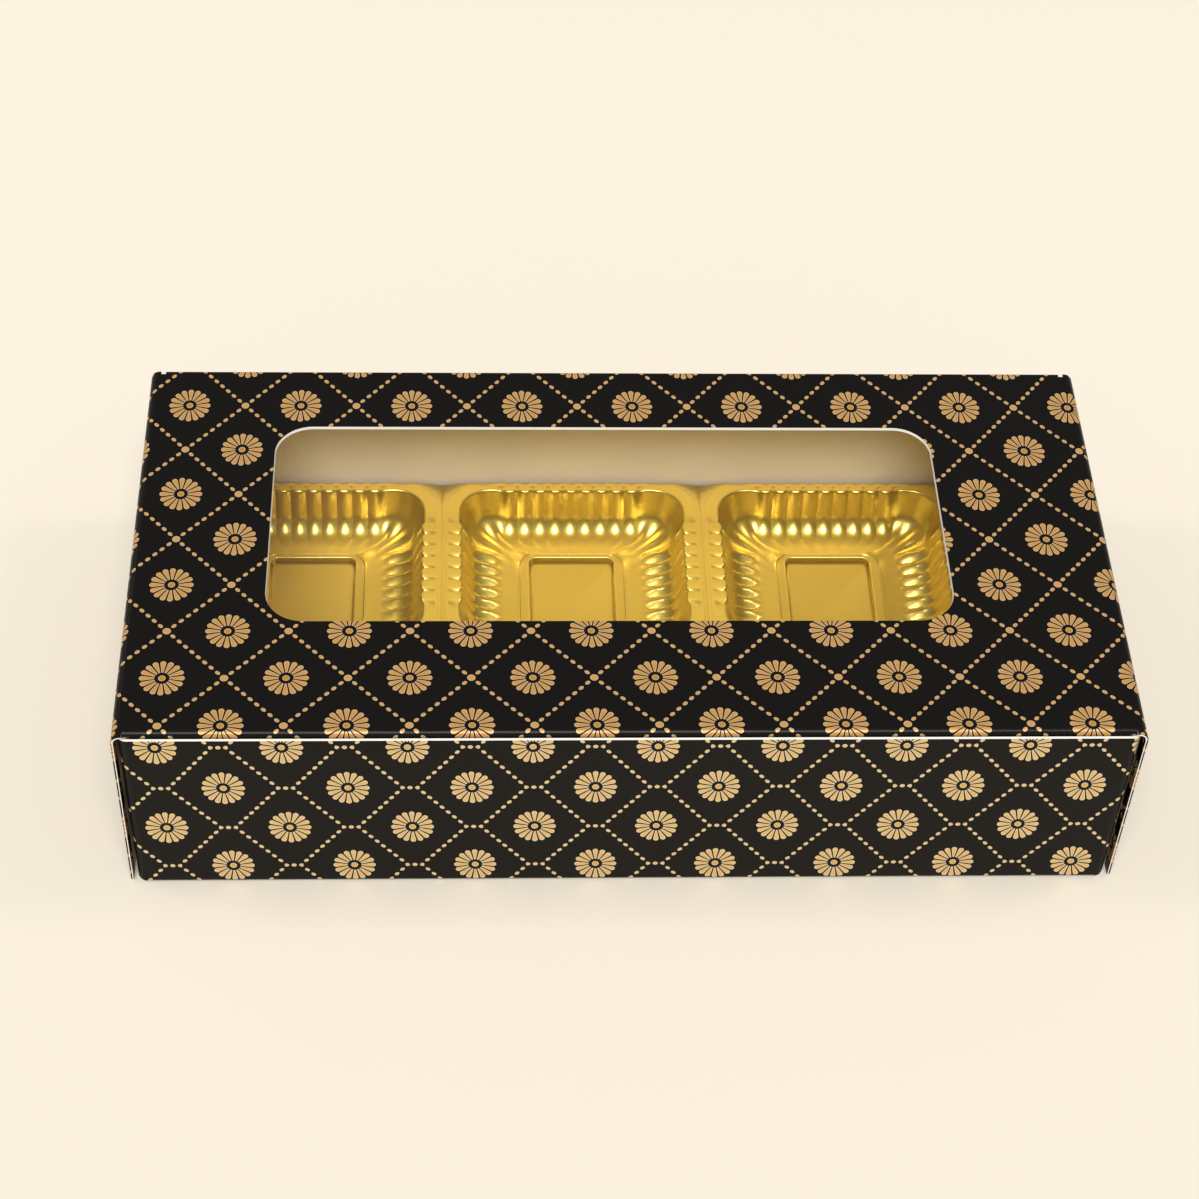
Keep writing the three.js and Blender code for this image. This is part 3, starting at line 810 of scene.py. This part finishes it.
shade_strip_end = FLAP_FRONT + SHADE_STRIP
places = np.sort(np.append(dense_ends(FLAP_FRONT, FLAP_BACK, FLAP_CORNER), shade_strip_end))
flap_top = BOX_TOP - SIDE_FOLD - CREASE_LEAD
down = np.linspace(0, 1, FLAP_ROWS)[:, None]
height = flap_top - down * (flap_top - FLAP_BOTTOM - rounded_ends(places, FLAP_CORNER))
for name, out in (("left_flap", -1), ("right_flap", 1)):
    outside = np.full(height.shape, out * HALF_WIDTH)
    face = np.dstack([outside, np.broadcast_to(places, height.shape), height])
    past_fold = HALF_WIDTH - SIDE_FOLD + SIDE_FOLD * QUARTER + BOX_TOP - SIDE_FOLD - height
    blank = np.dstack([out * past_fold, face[..., 1]]) - LID_FLOWER
    inward = np.zeros_like(face) + (-out, 0, 0)
    edges = dict(thickness=FLAP_BOARD, ink_over=0.6)
    flap = board_piece(name + "_sheet", face, inward, blank, lid_print, **edges)
    polygons = flap.data.polygons
    slots = np.empty(len(polygons), int)
    polygons.foreach_get("material_index", slots)
    centres = np.empty(3 * len(polygons))
    polygons.foreach_get("center", centres)
    # The inner face's strip near the front edge takes the print slot, as painted shade
    in_shade_strip = (slots == 1) & (centres[1::3] < shade_strip_end * MM)
    polygons.foreach_set("material_index", np.where(in_shade_strip, 0, slots))
    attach(flap, name)
    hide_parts("lid_" + name)

# Tuck flap
# The flap at the lid's front edge, which slides in behind the front wall and leans inwards so that
# it clears the wall. Its corners are cut round to find their way in.
TUCK_LENGTH = 13.0
TUCK_TURN = np.radians(100)
TUCK_CORNER = 7.0
TUCK_ROWS = 9
places = dense_ends(-TUCK_HALF, TUCK_HALF, TUCK_CORNER)
section = walk((TUCK_OUTSIDE - FOLD, BOX_TOP), (0, TUCK_TURN), (TUCK_LENGTH, 0))
fold_end = section[0][-1 - RUN_STEPS]
run_end = section[0][-1]
heading = (run_end - fold_end) / TUCK_LENGTH
free_run = TUCK_LENGTH - CREASE_LEAD - rounded_ends(places, TUCK_CORNER)
run = CREASE_LEAD + np.linspace(0, 1, TUCK_ROWS)[:, None] * free_run
spot = fold_end + run[..., None] * heading
face = np.dstack([np.broadcast_to(places, run.shape), -spot[..., 0], spot[..., 1]])
inward = np.zeros_like(face) + (0, -section[1][-1][0], section[1][-1][1])
past_fold = -(TUCK_OUTSIDE - FOLD + FOLD * TUCK_TURN + run)
blank = np.dstack([face[..., 0], past_fold]) - LID_FLOWER
tuck = board_piece("tuck_sheet", face, inward, blank, lid_print)
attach(tuck, "front_flap")
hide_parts("tuck_flap")

# Creases of the lid
# The board's own folds between the lid and its flaps and between the lid and the back wall. Each
# is a strip of the same sheet, bent round its fold.
SHORT_CREASE = 41
LONG_CREASE = 61
side_places = np.linspace(FLAP_FRONT, FLAP_BACK, SHORT_CREASE)
long_places = np.linspace(-LONG_WALL, LONG_WALL, LONG_CREASE)
tuck_places = np.linspace(-TUCK_HALF, TUCK_HALF, LONG_CREASE)
# Each crease's flap, outward and crease directions, outside, fold radius, turn and places
CREASES = {
    "left_crease": ("left_flap", (-1, 0, 0), (0, 1, 0), HALF_WIDTH, SIDE_FOLD, QUARTER, side_places),
    "right_crease": ("right_flap", (1, 0, 0), (0, 1, 0), HALF_WIDTH, SIDE_FOLD, QUARTER, side_places),
    "tuck_crease": ("front_flap", (0, -1, 0), (1, 0, 0), TUCK_OUTSIDE, FOLD, TUCK_TURN, tuck_places),
    "hinge_crease": ("tray", (0, 1, 0), (1, 0, 0), HALF_DEPTH, FOLD, QUARTER, long_places),
}
for name, (body, out, along, outside, fold, turn, places) in CREASES.items():
    flat_end = outside - fold
    steps = (CREASE_LEAD, turn), (CREASE_LEAD, 0)
    section = walk((flat_end - CREASE_LEAD, BOX_TOP), *steps, fold=fold)
    face, inward, blank = drawn_out(section, out, (0, 0, 1), along, places)
    past_fold = flat_end - CREASE_LEAD + blank[..., 0]
    blank = past_fold[..., None] * np.array(out[:2]) + blank[..., 1:] * np.array(along[:2])
    edges = dict(ink_over=0.9)
    if fold == SIDE_FOLD:
        edges = dict(thickness=FLAP_BOARD, ink_over=0.4)
    crease = board_piece(name, face, inward, blank - LID_FLOWER, lid_print, **edges)
    start = np.array(out, float) * flat_end + (0, 0, BOX_TOP)
    start * MM
    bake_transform(crease)

# Floor, light and camera
# A plain cream table top under a broad soft sun above the front, a small lamp at each side, a faint
# one behind and an even pale sky, seen through a long lens from above the front edge.
FLOOR = (0.845, 0.79, 0.69, 1)
FLOOR_ROUGHNESS = 0.9
FLOOR_HALF = 3000
FLOOR_GAP = 0.03
SKY = (1.0, 0.98, 0.94, 1)
SKY_LIGHT = 0.26
floor_mesh = bpy.data.meshes.new("floor")
corners = FLOOR_HALF * np.array([(-1, -1), (1, -1), (1, 1), (-1, 1)])
floor_points = np.column_stack([corners, np.full(len(corners), -FLOOR_GAP)]) * MM
floor_mesh.from_pydata(floor_points.tolist(), [], [(0, 1, 2, 3)])
floor = bpy.data.objects.new("floor", floor_mesh)
bpy.context.collection.objects.link(floor)
floor_material, floor_shader, _ = new_material("floor")
floor_shader.inputs["Base Color"].default_value = FLOOR
floor_shader.inputs["Roughness"].default_value = FLOOR_ROUGHNESS
floor_shader.inputs["Specular IOR Level"].default_value = 0
floor_mesh.materials.append(floor_material)

world = bpy.data.worlds.new("sky")
bpy.context.scene.world = world
world.use_nodes = True
world.node_tree.nodes["Background"].inputs["Color"].default_value = SKY
world.node_tree.nodes["Background"].inputs["Strength"].default_value = SKY_LIGHT


def aimed(place, target):
    """A matrix at a place in millimetres with its -z towards a target."""
    back = np.array(place, float) - np.array(target, float)
    back /= np.linalg.norm(back)
    right = np.cross((0, 0, 1), back)
    right /= np.linalg.norm(right)
    matrix = np.eye(4)
    matrix[:3, :3] = np.stack([right, np.cross(back, right), back], -1)
    matrix[:3, 3] = np.array(place, float) * MM
    return Matrix(matrix.tolist())


WARM_LIGHT = (1.0, 0.975, 0.93)
SUN_STRENGTH = 2.7
SUN_WIDTH = np.radians(32)
SUN_PLACE = (-30, -560, 950)
BOX_CENTRE = (0, 0, 0)
sun = bpy.data.lights.new("sun", "SUN")
sun.energy = SUN_STRENGTH
sun.angle = SUN_WIDTH
sun.color = WARM_LIGHT
sun_object = bpy.data.objects.new("sun", sun)
sun_object.matrix_world = aimed(SUN_PLACE, BOX_CENTRE)
bpy.context.collection.objects.link(sun_object)

# Each lamp's place in millimetres, its side in metres and its power in watts
LAMPS = {
    "left_lamp": ((-470, 60, 660), 0.16, 0.65),
    "right_lamp": ((470, 60, 660), 0.16, 0.65),
    "back_lamp": ((-620, 560, 420), 0.1, 0.1),
}
for name, (place, size, energy) in LAMPS.items():
    lamp = bpy.data.lights.new(name, "AREA")
    lamp.size = size
    lamp.energy = energy
    lamp.color = WARM_LIGHT
    lamp_object = bpy.data.objects.new(name, lamp)
    lamp_object.matrix_world = aimed(place, BOX_CENTRE)
    bpy.context.collection.objects.link(lamp_object)

LENS = 81.32
SENSOR = 36
CAMERA_PLACE = (-25.43, -312.86, 369.75)
CAMERA_DOWN = np.radians(47.814)
CAMERA_YAW = np.radians(-3.975)
CAMERA_ROLL = np.radians(2.910)
camera = bpy.data.cameras.new("camera")
camera.lens = LENS
camera.sensor_width = SENSOR
camera_object = bpy.data.objects.new("camera", camera)
tilt = Matrix.Rotation(QUARTER - CAMERA_DOWN, 4, "X")
camera_object.matrix_world = (
    Matrix.Translation(np.array(CAMERA_PLACE) * MM)
    @ Matrix.Rotation(CAMERA_YAW, 4, "Z")
    @ tilt
    @ Matrix.Rotation(CAMERA_ROLL, 4, "Z")
)
bpy.context.collection.objects.link(camera_object)
bpy.context.scene.camera = camera_object
bpy.context.scene.view_settings.view_transform = "Standard"
